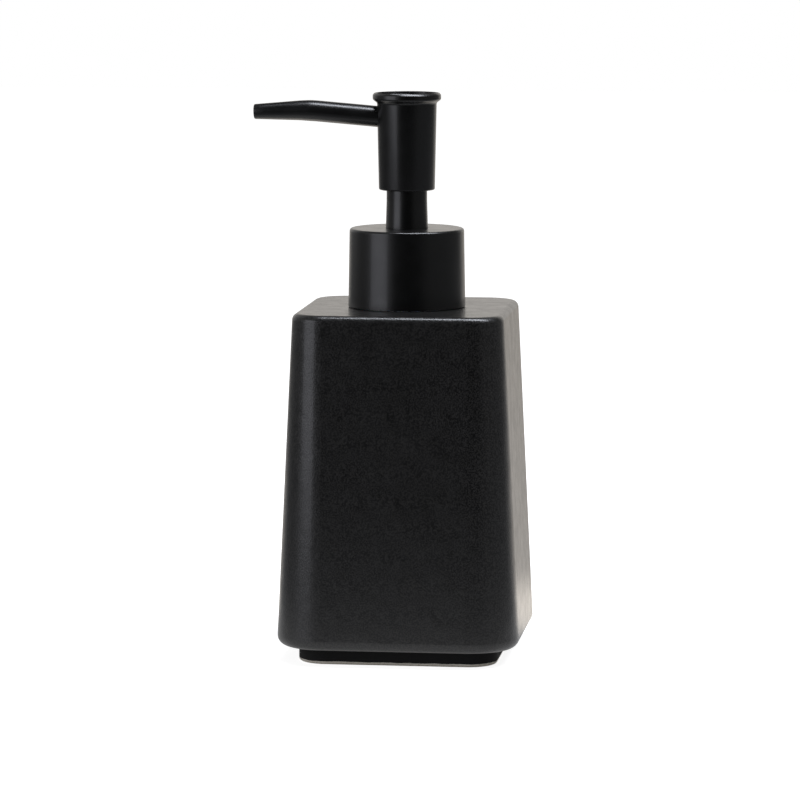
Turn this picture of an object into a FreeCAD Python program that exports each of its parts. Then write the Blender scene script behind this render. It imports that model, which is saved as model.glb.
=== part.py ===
"""A soap pump dispenser: a glazed ceramic bottle on a stepped foot, and a screw-on lotion pump.

+Z is up, the origin is the middle of the foot's underside, the nozzle points along -X and the
broad front of the bottle faces -Y. The pump is drawn at rest, with its head up.
"""

import FreeCAD
import Part
import Sketcher
import math
import os
import re

V = FreeCAD.Vector
TURN = 2 * math.pi

# The driving dimensions, in millimetres, degrees or turns. Heights are above the surface the foot stands on.
SIZES = {
    # bottle
    "shoulder_height": 100.8,  # flat top of the ceramic body
    "foot_height": 4.7,  # step between the foot and the body's underside
    "heel_half": 35.14,  # half width of the body at its underside
    "shoulder_inset": 4.71,  # how far each wall leans in from the underside to the top
    "heel_corner": 14.4,  # radius of the upright corners at the underside
    "heel_round": 2.8,
    "shoulder_round": 2.0,
    "foot_inset": 6.34,  # how far the foot stands in from the body's underside
    "foot_corner": 8.4,
    "foot_round": 0.9,
    "wall": 3.9,
    "floor": 4.2,
    "ceiling": 4.5,  # thickness of the ceramic under the collar
    "cavity_round": 3.5,
    # threaded neck insert
    "spigot_wall": 2.4,  # of the insert inside the mouth
    "insert_gap": 0.2,  # glue line between the insert and the mouth
    "insert_depth": 6.0,
    "insert_barb": 0.3,
    "insert_rim": 2.1,  # how far the insert's flange laps the ceramic
    "insert_flange": 1.2,
    "neck_height": 16.0,  # top of the neck above the shoulder
    "neck_gap": 0.6,  # between the housing and the neck's bore
    "neck_wall": 2.45,
    "thread_depth": 1.0,
    "thread_crest": 1.1,
    "thread_root": 2.0,
    "thread_pitch": 4.2333,
    "thread_turns": 1.25,
    "neck_thread_start": 5.4,  # above the shoulder, at the thread's lower end
    "thread_gap": 0.3,  # radial, between each crest and the other root
    "thread_slack": 0.4,  # how far the cap's thread stands above mid gap
    "thread_sink": 0.25,  # how far a ridge is rooted in its wall
    # gasket and pump housing
    "gasket": 1.4,
    "gasket_inset": 0.25,
    "fit_gap": 0.1,  # running clearance between pieces that turn or slide
    "seat_gap": 0.05,  # between pieces that are pushed together
    "flange_overhang": 0.15,  # housing flange beyond the neck
    "housing_flange": 1.5,
    "housing_step": 1.55,  # how much wider the housing's mouth is than its cylinder
    "housing_wall": 1.2,
    "mouth_depth": 7.0,
    "cylinder_bore": 7.0,
    "cylinder_length": 29.7,
    "chamber_bore": 4.2,
    "chamber_depth": 6.2,
    "inlet_bore": 1.8,
    "inlet_length": 1.4,
    "tail_wall": 1.475,
    "socket_depth": 12.0,
    "snap_bead": 0.2,
    "bead_width": 0.8,
    # dip tube
    "tube_radius": 3.2,
    "tube_wall": 1.0,
    "tube_rise": 2.2,  # from the floor of the bottle to the tube's tip
    "tube_bevel": 45.0,
    # inlet valve
    "ball_radius": 2.75,
    "ball_travel": 1.2,
    "cage_flange": 1.0,
    "cage_inset": 0.4,
    "cage_plate": 0.9,
    "cage_wall": 0.8,
    "cage_hole": 0.85,
    "cage_ring": 2.2,
    # collar
    "collar_lift": 0.3,  # gap between the collar and the shoulder
    "collar_height": 22.55,
    "collar_flare": 0.4,  # how much wider the collar is at its foot
    "shell_wall": 0.8,
    "collar_round": 0.8,
    "cap_wall": 1.7,  # outside the thread's root, at the cap's top
    "cap_top": 1.4,
    "cap_bottom": 2.0,  # height of the cap's lower rim above the shoulder
    "cap_rim_gap": 0.1,
    "cap_hole_gap": 0.25,
    # chaplet and neck sleeve
    "chaplet_flange": 0.8,
    "chaplet_rim": 1.85,
    "chaplet_wall": 1.1,
    "guide_land": 3.0,
    "guide_relief": 0.45,
    "sleeve_reach": 12.4,  # how far the sleeve stands out of the collar
    "sleeve_wall": 0.68,
    "sleeve_flare": 0.24,
    "sleeve_flare_height": 8.0,
    "sleeve_lip": 0.6,
    "sleeve_rim": 2.38,
    "sleeve_round": 0.35,
    "lip_gap": 0.4,  # between the sleeve's lip and the shaft
    # plunger
    "press_travel": 10.8,
    "press_clearance": 0.3,  # between head and collar with the head pushed down
    "shaft_radius": 3.9,
    "shaft_wall": 1.45,
    "shaft_skirt": 3.7,  # how far the shaft reaches below its stop ring
    "stop_gap": 0.7,
    "stop_height": 1.0,
    "piston_play": 0.8,
    "piston_height": 5.6,
    "piston_lip": 0.7,
    "lip_reach": 1.9,
    "waist_gap": 1.3,
    "valve_overlap": 1.2,  # how far the pin's cone stands inside the piston's bore
    "pin_rim": 1.0,
    "pin_cone": 2.2,
    "pin_flange": 1.2,
    "pin_length": 11.6,
    "pin_chamfer": 0.6,
    "pin_flute": 0.9,
    "pin_flute_width": 1.4,
    # return spring
    "wire_radius": 0.45,
    "coil_gap": 1.4,  # from the cylinder's wall to the middle of the wire
    "coils": 6.5,
    "coil_seat": 0.02,  # between the coil and what it stands between
    # pump head
    "head_height": 28.25,
    "head_wall": 0.75,
    "head_draft": 0.5,
    "sleeve_room": 1.23,  # between the sleeve and the head's bore
    "head_roof": 2.1,
    "rim_height": 2.25,
    "rim_overhang": 1.32,
    "rim_round": 0.95,
    "rim_blend": 1.0,
    "dish_inset": 1.02,
    "dish_depth": 1.2,
    "head_edge": 0.5,
    "core_height": 13.05,
    "core_channel": 1.6,
    "shaft_drop": 11.4,  # from the top of the head to the top of the shaft
    # nozzle
    "nozzle_drop": 7.87,  # from the head's top to where the nozzle's axis would cross the pump's
    "nozzle_root": 4.2,
    "nozzle_rise": 4.8,
    "nozzle_fall": 2.2,
    "nozzle_radius": 3.07,
    "nozzle_tip_radius": 2.17,
    "nozzle_bore": 1.7,
    "nozzle_tip_bore": 1.35,
    "nozzle_bend": 28.0,
    "nozzle_reach": 44.9,
    "nozzle_lip": 0.35,
    "nozzle_hole_gap": 0.12,
}

# Heights that stack on each other
SHOULDER = "shoulder_height"
NECK_TOP = f"{SHOULDER} + neck_height"
FLANGE_BOTTOM = f"{NECK_TOP} + gasket"
FLANGE_TOP = f"{FLANGE_BOTTOM} + housing_flange"
MOUTH_FLOOR = f"{FLANGE_TOP} - mouth_depth"
SNAP = f"{FLANGE_TOP} - mouth_depth / 2"
CYLINDER_FLOOR = f"{MOUTH_FLOOR} - cylinder_length"
SEAT_TOP = f"{CYLINDER_FLOOR} - chamber_depth"
SEAT_APEX = f"{SEAT_TOP} - chamber_bore"  # where the ball seat's 45 degree cone would close
SEAT_LOW = f"{SEAT_TOP} - (chamber_bore - inlet_bore)"
SOCKET_TOP = f"{SEAT_LOW} - inlet_length"
TAIL_END = f"{SOCKET_TOP} - socket_depth"
CAP_CEILING = f"{FLANGE_TOP} + cap_rim_gap"
CAP_TOP = f"{CAP_CEILING} + cap_top"
CHAPLET_FLANGE_BOTTOM = f"{CAP_TOP} + cap_rim_gap"
CHAPLET_FLANGE_TOP = f"{CHAPLET_FLANGE_BOTTOM} + chaplet_flange"
COLLAR_BOTTOM = f"{SHOULDER} + collar_lift"
COLLAR_TOP = f"{COLLAR_BOTTOM} + collar_height"
SLEEVE_TOP = f"{COLLAR_TOP} + sleeve_reach"
STOP_BOTTOM = f"{MOUTH_FLOOR} - stop_height"
PISTON_TOP = f"{STOP_BOTTOM} - piston_play - fit_gap"
PISTON_BOTTOM = f"{PISTON_TOP} - piston_height"
PIN_NECK = f"{PISTON_BOTTOM} + valve_overlap"
PIN_CONE_FOOT = f"{PIN_NECK} - pin_cone"
PIN_BOTTOM = f"{PIN_CONE_FOOT} - pin_flange"
PIN_TOP = f"{PIN_NECK} + pin_length"
HEAD_BOTTOM = f"{COLLAR_TOP} + press_travel + press_clearance"
HEAD_TOP = f"{HEAD_BOTTOM} + head_height"
HEAD_CEILING = f"{HEAD_TOP} - head_roof"
RIM_BOTTOM = f"{HEAD_TOP} - rim_height"
SHAFT_TOP = f"{HEAD_TOP} - shaft_drop"
NOZZLE_HEIGHT = f"{HEAD_TOP} - nozzle_drop"

# Radii that fit into each other
HOUSING_MOUTH = "cylinder_bore + housing_step"
BARREL = f"{HOUSING_MOUTH} + housing_wall - seat_gap"  # outside of the housing inside the neck
NECK_BORE = f"{BARREL} + neck_gap"
NECK_RADIUS = f"{NECK_BORE} + neck_wall"
SPIGOT = f"{NECK_BORE} + spigot_wall"
MOUTH_RADIUS = f"{SPIGOT} + insert_gap"
THREAD_ROOT = f"{NECK_RADIUS} + thread_depth + thread_gap"
COLLAR_RADIUS = f"{THREAD_ROOT} + cap_wall + seat_gap + shell_wall"  # at the collar's top
SHAFT_BORE = "shaft_radius - shaft_wall"
CHAPLET_BORE = "shaft_radius + fit_gap"
CHAPLET_TUBE = f"{CHAPLET_BORE} + chaplet_wall"
CHAPLET_SKIRT = f"{HOUSING_MOUTH} - seat_gap"
SLEEVE_BORE = f"{CHAPLET_TUBE} + fit_gap"
SLEEVE_RADIUS = f"{SLEEVE_BORE} + sleeve_wall"  # at the sleeve's top
SLEEVE_FOOT = f"{SLEEVE_RADIUS} + sleeve_flare"
HEAD_BORE = f"{SLEEVE_FOOT} + sleeve_room"
HEAD_RADIUS = f"{HEAD_BORE} + head_wall"  # at the head's lower edge
HEAD_SHOULDER = f"{HEAD_RADIUS} + head_draft"
RIM_RADIUS = f"{HEAD_SHOULDER} + rim_overhang"
PIN_RADIUS = f"{SHAFT_BORE} - seat_gap"

doc = FreeCAD.newDocument("soap_pump")
sheet = doc.addObject("Spreadsheet::Sheet", "sizes")
for row, (alias, value) in enumerate(SIZES.items(), start=1):
    sheet.set(f"A{row}", alias)
    sheet.set(f"B{row}", str(value))
    sheet.setAlias(f"B{row}", alias)
doc.recompute()


def bound(text):
    """Writes each bare name in a formula as a cell of the sheet; a name followed by ( is a function."""
    return re.sub(r"\b([a-z]+(?:_[a-z]+)*)\b(?!\()", r"sizes.\1", text)


def size(alias):
    """The sheet's value of one driving dimension."""
    return float(sheet.get(alias))


def new_body(name):
    body = doc.addObject("PartDesign::Body", name)
    body.Label = name
    return body


def new_sketch(body, role, name, height=None):
    """A sketch on one of the body's own origin planes, at a height above it if one is given."""
    sketch = body.newObject("Sketcher::SketchObject", f"{body.Name}_{name}")
    plane = next(f for f in body.Origin.OriginFeatures if f.Role == role)
    sketch.AttachmentSupport = (plane, [""])
    sketch.MapMode = "FlatFace"
    if height:
        sketch.setExpression(".AttachmentOffset.Base.z", bound(height))
    return sketch


def worth(text):
    """The number that a formula of the driving dimensions comes to."""
    return float(sheet.evalExpression(re.sub(r"\bsizes\.", "", bound(text))))


def spot(across, up):
    return V(worth(across), worth(up), 0)


def pin_point(sketch, geometry, point, across=None, up=None):
    """Fixes a point of the sketch at one or two formulas' distances from the sketch's origin."""
    for kind, axis, text in (("DistanceX", -2, across), ("DistanceY", -1, up)):
        if text is None:
            continue
        if text == "0":
            sketch.addConstraint(Sketcher.Constraint("PointOnObject", geometry, point, axis))
        else:
            number = sketch.addConstraint(Sketcher.Constraint(kind, -1, 1, geometry, point, worth(text)))
            sketch.setExpression(f"Constraints[{number}]", bound(text))


def outline(sketch, corners):
    """A closed polygon through corners, each a pair of formulas (across, up)."""
    count = len(corners)
    ring = [spot(*corner) for corner in corners]
    for i in range(count):
        sketch.addGeometry(Part.LineSegment(ring[i], ring[(i + 1) % count]), False)
    for i in range(count):
        sketch.addConstraint(Sketcher.Constraint("Coincident", i, 2, (i + 1) % count, 1))
        pin_point(sketch, i, 1, *corners[i])


def circle(sketch, across, up, radius):
    """A circle at two formulas' distances from the sketch's origin."""
    number = sketch.addGeometry(Part.Circle(spot(across, up), V(0, 0, 1), worth(radius)), False)
    pin_point(sketch, number, 3, across, up)
    ring = sketch.addConstraint(Sketcher.Constraint("Radius", number, worth(radius)))
    sketch.setExpression(f"Constraints[{ring}]", bound(radius))


def rounded_square(sketch, half, corner):
    """A square about the origin with a tangent arc in each corner."""
    reach, flat = half, f"{half} - ({corner})"
    less_reach, less_flat = f"-({half})", f"({corner}) - ({half})"
    sides = [
        ((less_flat, less_reach), (flat, less_reach)),
        ((reach, less_flat), (reach, flat)),
        ((flat, reach), (less_flat, reach)),
        ((less_reach, flat), (less_reach, less_flat)),
    ]
    centres = [(flat, less_flat), (flat, flat), (less_flat, flat), (less_flat, less_flat)]
    for start, end in sides:
        sketch.addGeometry(Part.LineSegment(spot(*start), spot(*end)), False)
    for quarter, centre in enumerate(centres):
        ring = Part.Circle(spot(*centre), V(0, 0, 1), worth(corner))
        start = TURN / 4 * (quarter - 1)
        sketch.addGeometry(Part.ArcOfCircle(ring, start, start + TURN / 4), False)
    for quarter, centre in enumerate(centres):
        sketch.addConstraint(Sketcher.Constraint("Coincident", quarter, 2, 4 + quarter, 1))
        sketch.addConstraint(Sketcher.Constraint("Coincident", 4 + quarter, 2, (quarter + 1) % 4, 1))
        pin_point(sketch, 4 + quarter, 3, *centre)
        start, end = sides[quarter]
        pin_point(sketch, quarter, 2, *end)
        if quarter % 2:
            pin_point(sketch, quarter, 1, up=start[1])
        else:
            pin_point(sketch, quarter, 1, across=start[0])


def feature(body, kind, name, sketch):
    made = body.newObject(f"PartDesign::{kind}", f"{body.Name}_{name}")
    made.Profile = sketch
    return made


def revolve(body, corners, name="turned", kind="Revolution"):
    """Turns an outline in the XZ plane about Z, as added or (kind Groove) removed material."""
    sketch = new_sketch(body, "XZ_Plane", f"{name}_outline")
    outline(sketch, corners)
    made = feature(body, kind, name, sketch)
    made.ReferenceAxis = (sketch, ["V_Axis"])
    made.Angle = 360
    doc.recompute()
    return sketch


def turned(name, corners):
    """A body of revolution and the sketch of its outline."""
    body = new_body(name)
    return body, revolve(body, corners)


def soften(body, edges, radius, name):
    """Rounds the given edges of the body so far."""
    rounding = body.newObject("PartDesign::Fillet", f"{body.Name}_{name}")
    rounding.Base = (body.Tip if body.Tip != rounding else rounding.BaseFeature, edges)
    rounding.setExpression("Radius", bound(radius))
    body.Tip = rounding
    doc.recompute()


def rings_at(body, sketch, numbers):
    """The names of the circular edges that the outline's corners of those numbers made."""
    found = []
    for number in numbers:
        corner = sketch.getPoint(number, 1)
        for i, edge in enumerate(body.Tip.Shape.Edges, start=1):
            box = edge.BoundBox
            flat = box.ZLength < 1e-4 and abs(box.ZMin - corner.y) < 1e-3
            if flat and abs(box.XMax - corner.x) < 1e-3 and abs(box.XMin + corner.x) < 1e-3:
                found.append(f"Edge{i}")
    return found


def edges_between(body, low, high):
    """The names of the edges that lie wholly between two heights."""
    return [
        f"Edge{i}"
        for i, edge in enumerate(body.Tip.Shape.Edges, start=1)
        if edge.BoundBox.ZMin > low and edge.BoundBox.ZMax < high
    ]


def pad(body, kind, name, sketch, length, reverse=False):
    """A Pad or a one-sided Pocket of the sketch."""
    made = feature(body, kind, name, sketch)
    made.setExpression("Length", bound(length))
    made.Reversed = reverse
    doc.recompute()
    return made


def tapered(body, kind, name, half, corner, bottom, top):
    """A rounded square drawn at its bottom height and drawn in toward its top at the bottle's taper."""
    sketch = new_sketch(body, "XY_Plane", f"{name}_outline", bottom)
    rounded_square(sketch, half, corner)
    made = pad(body, kind, name, sketch, f"{top} - ({bottom})", reverse=kind == "Pocket")
    slope = "shoulder_inset / (shoulder_height - foot_height)"
    made.setExpression("TaperAngle", bound(f"-atan({slope})"))
    doc.recompute()


def helix(body, sketch, name, pitch, turns):
    """Winds a section about Z, climbing to the right as a standard screw thread does."""
    made = feature(body, "AdditiveHelix", name, sketch)
    made.ReferenceAxis = (sketch, ["V_Axis"])
    made.Mode = 1
    made.setExpression("Pitch", bound(pitch))
    made.setExpression("Turns", bound(turns))
    doc.recompute()


def make_bottle():
    """The slip-cast body: tapered walls, a step down to the foot, and a hollow under one round mouth."""
    body = new_body("bottle")
    tapered(body, "Pad", "walls", "heel_half", "heel_corner", "foot_height", "shoulder_height")
    shoulder, heel = size("shoulder_height"), size("foot_height")
    soften(body, edges_between(body, shoulder - 0.01, shoulder + 0.01), "shoulder_round", "shoulder_edge")
    soften(body, edges_between(body, heel - 0.01, heel + 0.01), "heel_round", "heel_edge")
    sketch = new_sketch(body, "XY_Plane", "foot")
    rounded_square(sketch, "heel_half - foot_inset", "foot_corner")
    pad(body, "Pad", "foot_step", sketch, "foot_height + 1")
    soften(body, edges_between(body, -0.01, 0.01), "foot_round", "foot_edge")
    ledge, ceiling = heel + size("wall"), shoulder - size("ceiling")
    sides = ("heel_half - wall", "heel_corner - wall")
    tapered(body, "Pocket", "cavity", *sides, "foot_height + wall", "shoulder_height - ceiling")
    inner = edges_between(body, ledge - 0.01, ledge + 0.01)
    inner += edges_between(body, ceiling - 0.01, ceiling + 0.01)
    soften(body, inner, "cavity_round", "cavity_edges")
    sketch = new_sketch(body, "XY_Plane", "well_outline", "floor")
    rounded_square(sketch, "heel_half - foot_inset - wall", "foot_corner - wall")
    pad(body, "Pocket", "well", sketch, "foot_height + wall - floor + 1", reverse=True)
    sketch = new_sketch(body, "XY_Plane", "mouth", "shoulder_height")
    circle(sketch, "0", "0", MOUTH_RADIUS)
    pad(body, "Pocket", "mouth_hole", sketch, "ceiling + 1")


def make_neck_insert():
    """The threaded plastic neck that is glued into the mouth."""
    barb = f"{MOUTH_RADIUS} + insert_barb"
    under = f"{SHOULDER} - ceiling"
    body, _ = turned(
        "neck_insert",
        [
            (NECK_BORE, f"{SHOULDER} - insert_depth"),
            (SPIGOT, f"{SHOULDER} - insert_depth"),
            (barb, f"{under} - 2 * insert_barb"),
            (barb, f"{under} - fit_gap"),
            (SPIGOT, f"{under} - fit_gap"),
            (SPIGOT, SHOULDER),
            (f"{MOUTH_RADIUS} + insert_rim", SHOULDER),
            (f"{MOUTH_RADIUS} + insert_rim", f"{SHOULDER} + insert_flange"),
            (NECK_RADIUS, f"{SHOULDER} + insert_flange"),
            (NECK_RADIUS, f"{NECK_TOP} - thread_depth / 2"),
            (f"{NECK_RADIUS} - thread_depth / 2", NECK_TOP),
            (NECK_BORE, NECK_TOP),
        ],
    )
    ridge(
        body,
        f"{NECK_RADIUS} - thread_sink",
        f"{NECK_RADIUS} + thread_depth",
        f"{SHOULDER} + neck_thread_start",
    )


def ridge(body, root, crest, start):
    """Winds one thread ridge, from the radius it is rooted at to its crest, up from a height."""
    sketch = new_sketch(body, "XZ_Plane", "thread_section")
    outline(
        sketch,
        [
            (root, f"{start} - thread_root / 2"),
            (crest, f"{start} - thread_crest / 2"),
            (crest, f"{start} + thread_crest / 2"),
            (root, f"{start} + thread_root / 2"),
        ],
    )
    helix(body, sketch, "thread", "thread_pitch", "thread_turns")


def make_neck_gasket():
    """The flat ring that seals the housing's flange to the neck."""
    inner, outer = f"{BARREL} + fit_gap", f"{NECK_RADIUS} - gasket_inset"
    turned("neck_gasket", [(inner, NECK_TOP), (outer, NECK_TOP), (outer, FLANGE_BOTTOM), (inner, FLANGE_BOTTOM)])


def make_housing():
    """The pump's cylinder: a flange, a bore for the piston, the ball's seat and a socket for the dip tube."""
    outside = "cylinder_bore + housing_wall"
    groove = f"{HOUSING_MOUTH} + snap_bead + seat_gap"
    socket = "tube_radius + seat_gap / 2"
    flange = f"{NECK_RADIUS} + flange_overhang"
    turned(
        "housing",
        [
            (HOUSING_MOUTH, FLANGE_TOP),
            (HOUSING_MOUTH, f"{SNAP} + bead_width"),
            (groove, f"{SNAP} + bead_width / 2"),
            (groove, f"{SNAP} - bead_width / 2"),
            (HOUSING_MOUTH, f"{SNAP} - bead_width"),
            (HOUSING_MOUTH, MOUTH_FLOOR),
            ("cylinder_bore", MOUTH_FLOOR),
            ("cylinder_bore", CYLINDER_FLOOR),
            ("chamber_bore", CYLINDER_FLOOR),
            ("chamber_bore", SEAT_TOP),
            ("inlet_bore", SEAT_LOW),
            ("inlet_bore", SOCKET_TOP),
            (socket, SOCKET_TOP),
            (socket, TAIL_END),
            (f"{socket} + tail_wall", TAIL_END),
            (f"{socket} + tail_wall + housing_wall / 4", SEAT_LOW),
            ("chamber_bore + housing_wall * 5 / 4", f"{CYLINDER_FLOOR} - housing_wall * 9 / 4"),
            (outside, f"{CYLINDER_FLOOR} - housing_wall"),
            (outside, f"{MOUTH_FLOOR} - housing_step * 2"),
            (BARREL, f"{MOUTH_FLOOR} - housing_step"),
            (BARREL, FLANGE_BOTTOM),
            (flange, FLANGE_BOTTOM),
            (flange, FLANGE_TOP),
        ],
    )


def make_dip_tube():
    """The suction tube, cut off at a slant so that it can't seal itself on the floor of the bottle."""
    end = "floor + tube_rise"
    bore = "tube_radius - tube_wall"
    body, _ = turned(
        "dip_tube", [(bore, end), ("tube_radius", end), ("tube_radius", SOCKET_TOP), (bore, SOCKET_TOP)]
    )
    sketch = new_sketch(body, "XZ_Plane", "slant")
    outline(
        sketch,
        [
            ("-(tube_radius + 1)", f"{end} - 2"),
            ("tube_radius", f"{end} - 2"),
            ("tube_radius", end),
            ("-(tube_radius + 1)", f"{end} + (2 * tube_radius + 1) * tan(tube_bevel)"),
        ],
    )
    cut = pad(body, "Pocket", "bevel", sketch, "4 * tube_radius")
    cut.Midplane = True
    doc.recompute()


def make_inlet_ball():
    """The check ball, a hair above its 45 degree seat."""
    ball = doc.addObject("Part::Sphere", "inlet_ball")
    ball.Label = "inlet_ball"
    ball.setExpression("Radius", bound("ball_radius"))
    ball.setExpression(".Placement.Base.z", bound(f"{SEAT_APEX} + ball_radius * sqrt(2) + coil_seat"))


def make_ball_cage():
    """The crown that keeps the ball in its chamber and gives the spring a seat."""
    plate = f"{SEAT_APEX} + ball_radius * (sqrt(2) + 1) + ball_travel + 2 * coil_seat"
    skirt = "chamber_bore - seat_gap"
    rim = "cylinder_bore - cage_inset"
    body, _ = turned(
        "ball_cage",
        [
            ("0", plate),
            (skirt, plate),
            (skirt, CYLINDER_FLOOR),
            (rim, CYLINDER_FLOOR),
            (rim, f"{CYLINDER_FLOOR} + cage_flange"),
            (f"{skirt} - cage_wall", f"{CYLINDER_FLOOR} + cage_flange"),
            (f"{skirt} - cage_wall", f"{plate} + cage_plate"),
            ("0", f"{plate} + cage_plate"),
        ],
    )
    sketch = new_sketch(body, "XY_Plane", "flow_hole", CYLINDER_FLOOR)
    circle(sketch, "cage_ring", "0", "cage_hole")
    around(body, sketch, pad(body, "Pocket", "flow", sketch, "chamber_depth"), 5)


def make_chaplet():
    """The plastic guide that snaps into the housing, holds the collar down and steers the shaft."""
    top = f"{SLEEVE_TOP} - sleeve_lip - seat_gap"
    relief = f"{CHAPLET_BORE} + guide_relief"
    foot = f"{MOUTH_FLOOR} + fit_gap"
    rim = f"{HOUSING_MOUTH} + chaplet_rim"
    turned(
        "chaplet",
        [
            (CHAPLET_BORE, foot),
            (CHAPLET_SKIRT, foot),
            (CHAPLET_SKIRT, f"{SNAP} - bead_width"),
            (f"{CHAPLET_SKIRT} + snap_bead", f"{SNAP} - bead_width / 2"),
            (f"{CHAPLET_SKIRT} + snap_bead", f"{SNAP} + bead_width / 2"),
            (CHAPLET_SKIRT, f"{SNAP} + bead_width"),
            (CHAPLET_SKIRT, CHAPLET_FLANGE_BOTTOM),
            (rim, CHAPLET_FLANGE_BOTTOM),
            (rim, CHAPLET_FLANGE_TOP),
            (CHAPLET_TUBE, CHAPLET_FLANGE_TOP),
            (CHAPLET_TUBE, top),
            (CHAPLET_BORE, top),
            (CHAPLET_BORE, f"{top} - guide_land"),
            (relief, f"{top} - guide_land - guide_relief"),
            (relief, f"{foot} + guide_land + guide_relief"),
            (CHAPLET_BORE, f"{foot} + guide_land"),
        ],
    )


def make_neck_sleeve():
    """The black tube between collar and head, held down by a flange inside the collar."""
    bottom = f"{CHAPLET_FLANGE_TOP} + seat_gap"
    mouth = "shaft_radius + lip_gap"
    rim = f"{SLEEVE_FOOT} + sleeve_rim"
    body, sketch = turned(
        "neck_sleeve",
        [
            (SLEEVE_BORE, bottom),
            (rim, bottom),
            (rim, f"{bottom} + sleeve_lip"),
            (SLEEVE_FOOT, f"{bottom} + sleeve_lip"),
            (SLEEVE_FOOT, COLLAR_TOP),
            (SLEEVE_RADIUS, f"{COLLAR_TOP} + sleeve_flare_height"),
            (SLEEVE_RADIUS, SLEEVE_TOP),
            (mouth, SLEEVE_TOP),
            (mouth, f"{SLEEVE_TOP} - sleeve_lip"),
            (SLEEVE_BORE, f"{SLEEVE_TOP} - sleeve_lip"),
        ],
    )
    soften(body, rings_at(body, sketch, [6]), "sleeve_round", "lip_edge")


def make_collar_shell():
    """The black outer skin of the screw cap."""
    flared = f"{COLLAR_RADIUS} + collar_flare"
    body, sketch = turned(
        "collar_shell",
        [
            (f"{flared} - shell_wall", COLLAR_BOTTOM),
            (flared, COLLAR_BOTTOM),
            (COLLAR_RADIUS, COLLAR_TOP),
            (f"{SLEEVE_FOOT} + fit_gap", COLLAR_TOP),
            (f"{SLEEVE_FOOT} + fit_gap", f"{COLLAR_TOP} - shell_wall"),
            (f"{COLLAR_RADIUS} - shell_wall", f"{COLLAR_TOP} - shell_wall"),
        ],
    )
    soften(body, rings_at(body, sketch, [2]), "collar_round", "top_edge")


def make_collar_cap():
    """The threaded plastic cap inside the collar's skin."""
    low = f"{SHOULDER} + cap_bottom"
    skin = f"{COLLAR_RADIUS} - shell_wall - seat_gap"
    slope = "collar_flare / (collar_height - shell_wall)"
    hole = f"{CHAPLET_SKIRT} + cap_hole_gap"
    body, _ = turned(
        "collar_cap",
        [
            (THREAD_ROOT, low),
            (f"{skin} + ({COLLAR_TOP} - shell_wall - ({low})) * {slope}", low),
            (f"{skin} + ({COLLAR_TOP} - shell_wall - ({CAP_TOP})) * {slope}", CAP_TOP),
            (hole, CAP_TOP),
            (hole, CAP_CEILING),
            (THREAD_ROOT, CAP_CEILING),
        ],
    )
    ridge(
        body,
        f"{THREAD_ROOT} + thread_sink",
        f"{NECK_RADIUS} + thread_gap",
        f"{SHOULDER} + neck_thread_start - thread_pitch / 2 + thread_slack",
    )


def make_shaft():
    """The hollow stem that carries soap from the piston up to the head."""
    stop = "cylinder_bore - stop_gap"
    turned(
        "shaft",
        [
            (SHAFT_BORE, f"{STOP_BOTTOM} - shaft_skirt"),
            ("shaft_radius", f"{STOP_BOTTOM} - shaft_skirt"),
            ("shaft_radius", STOP_BOTTOM),
            (stop, STOP_BOTTOM),
            (stop, MOUTH_FLOOR),
            ("shaft_radius", MOUTH_FLOOR),
            ("shaft_radius", SHAFT_TOP),
            (SHAFT_BORE, SHAFT_TOP),
        ],
    )


def make_piston_seal():
    """The sliding seal: a sleeve on the shaft with a lip at each end against the cylinder."""
    lip = "cylinder_bore - seat_gap"
    waist = "cylinder_bore - waist_gap"
    inner = "shaft_radius + seat_gap"
    turned(
        "piston_seal",
        [
            (inner, PISTON_BOTTOM),
            (waist, PISTON_BOTTOM),
            (f"{lip} - piston_lip", f"{PISTON_BOTTOM} + piston_lip / 2"),
            (lip, f"{PISTON_BOTTOM} - piston_lip / 2"),
            (lip, f"{PISTON_BOTTOM} + piston_lip / 2"),
            (waist, f"{PISTON_BOTTOM} + lip_reach"),
            (waist, f"{PISTON_TOP} - lip_reach"),
            (lip, f"{PISTON_TOP} - piston_lip"),
            (lip, PISTON_TOP),
            (inner, PISTON_TOP),
        ],
    )


def make_valve_pin():
    """The pin in the shaft's foot: its cone shuts the piston's bore and its flange rides on the spring."""
    rim = "cylinder_bore - coil_gap + wire_radius + fit_gap * 2"
    body, _ = turned(
        "valve_pin",
        [
            ("0", PIN_BOTTOM),
            (rim, PIN_BOTTOM),
            (rim, f"{PIN_BOTTOM} + pin_flange * 0.6"),
            ("shaft_radius + pin_rim", PIN_CONE_FOOT),
            (PIN_RADIUS, PIN_NECK),
            (PIN_RADIUS, f"{PIN_TOP} - pin_chamfer"),
            (f"{PIN_RADIUS} - pin_chamfer", PIN_TOP),
            ("0", PIN_TOP),
        ],
    )
    sketch = new_sketch(body, "XY_Plane", "flute_section", PIN_TOP)
    bottom, half = f"{PIN_RADIUS} - pin_flute", "pin_flute_width / 2"
    edge = f"{PIN_RADIUS} + 1"
    outline(sketch, [(bottom, f"-{half}"), (edge, f"-{half}"), (edge, half), (bottom, half)])
    around(body, sketch, pad(body, "Pocket", "flute", sketch, "pin_length"), 3)


def around(body, sketch, cut, count):
    """Repeats a cut evenly around the axis."""
    ring = body.newObject("PartDesign::PolarPattern", f"{body.Name}_ring")
    ring.Originals = [cut]
    ring.Axis = (sketch, ["N_Axis"])
    ring.Angle = 360
    ring.Occurrences = count
    body.Tip = ring
    doc.recompute()


def make_return_spring():
    """The steel coil between the cage and the valve pin."""
    body = new_body("return_spring")
    low = f"{CYLINDER_FLOOR} + cage_flange + wire_radius + coil_seat"
    sketch = new_sketch(body, "XZ_Plane", "wire")
    circle(sketch, "cylinder_bore - coil_gap", low, "wire_radius")
    climb = f"{PIN_BOTTOM} - wire_radius - coil_seat - ({low})"
    helix(body, sketch, "coil", f"({climb}) / coils", "coils")


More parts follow.
